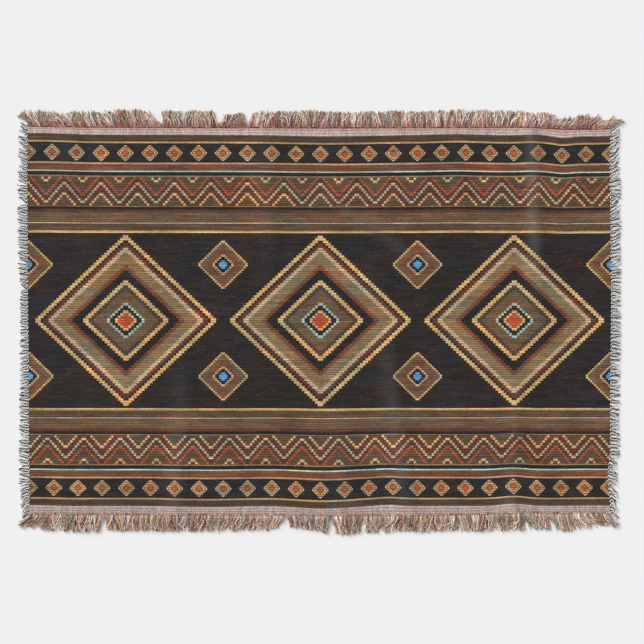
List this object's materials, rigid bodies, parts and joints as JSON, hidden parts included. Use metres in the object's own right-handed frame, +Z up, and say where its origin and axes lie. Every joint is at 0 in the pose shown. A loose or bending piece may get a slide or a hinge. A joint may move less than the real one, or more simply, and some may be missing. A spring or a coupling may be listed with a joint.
{
  "type": "woven throw blanket",
  "caption": "Oblong woven throw blanket laid out flat, with a ribbed band at each end, corded side edges and a loose yarn fringe all round.",
  "frame": {"origin": "on the floor, under the middle of the whole outline with its fringe", "axes": "+X along the weft, the long way of the cloth; +Y along the warp, towards the top of the pattern; +Z up, out of the patterned face"},
  "size_m": [1.378, 0.969, 0.0088],
  "materials": {
    "field_cloth": "matte jacquard weave",
    "heading_cloth": "matte ribbed weave",
    "lock_stitch": "matte stitched thread",
    "selvedge_cord": "matte cord",
    "warp_yarn": "matte twisted yarn",
    "weft_yarn": "matte twisted yarn"
  },
  "bodies": {
    "root": {"field": "field_cloth", "fringe_bottom_1": "warp_yarn", "fringe_bottom_10": "warp_yarn", "fringe_bottom_2": "warp_yarn", "fringe_bottom_3": "warp_yarn", "fringe_bottom_4": "warp_yarn", "fringe_bottom_5": "warp_yarn", "fringe_bottom_6": "warp_yarn", "fringe_bottom_7": "warp_yarn", "fringe_bottom_8": "warp_yarn", "fringe_bottom_9": "warp_yarn", "fringe_left_1": "weft_yarn", "fringe_left_2": "weft_yarn", "fringe_left_3": "weft_yarn", "fringe_left_4": "weft_yarn", "fringe_left_5": "weft_yarn", "fringe_right_1": "weft_yarn", "fringe_right_2": "weft_yarn", "fringe_right_3": "weft_yarn", "fringe_right_4": "weft_yarn", "fringe_right_5": "weft_yarn", "fringe_top_1": "warp_yarn", "fringe_top_10": "warp_yarn", "fringe_top_2": "warp_yarn", "fringe_top_3": "warp_yarn", "fringe_top_4": "warp_yarn", "fringe_top_5": "warp_yarn", "fringe_top_6": "warp_yarn", "fringe_top_7": "warp_yarn", "fringe_top_8": "warp_yarn", "fringe_top_9": "warp_yarn", "heading_bottom": "heading_cloth", "heading_top": "heading_cloth", "lock_row_bottom": "lock_stitch", "lock_row_top": "lock_stitch", "selvedge_left": "selvedge_cord", "selvedge_right": "selvedge_cord"}
  },
  "joints": []
}
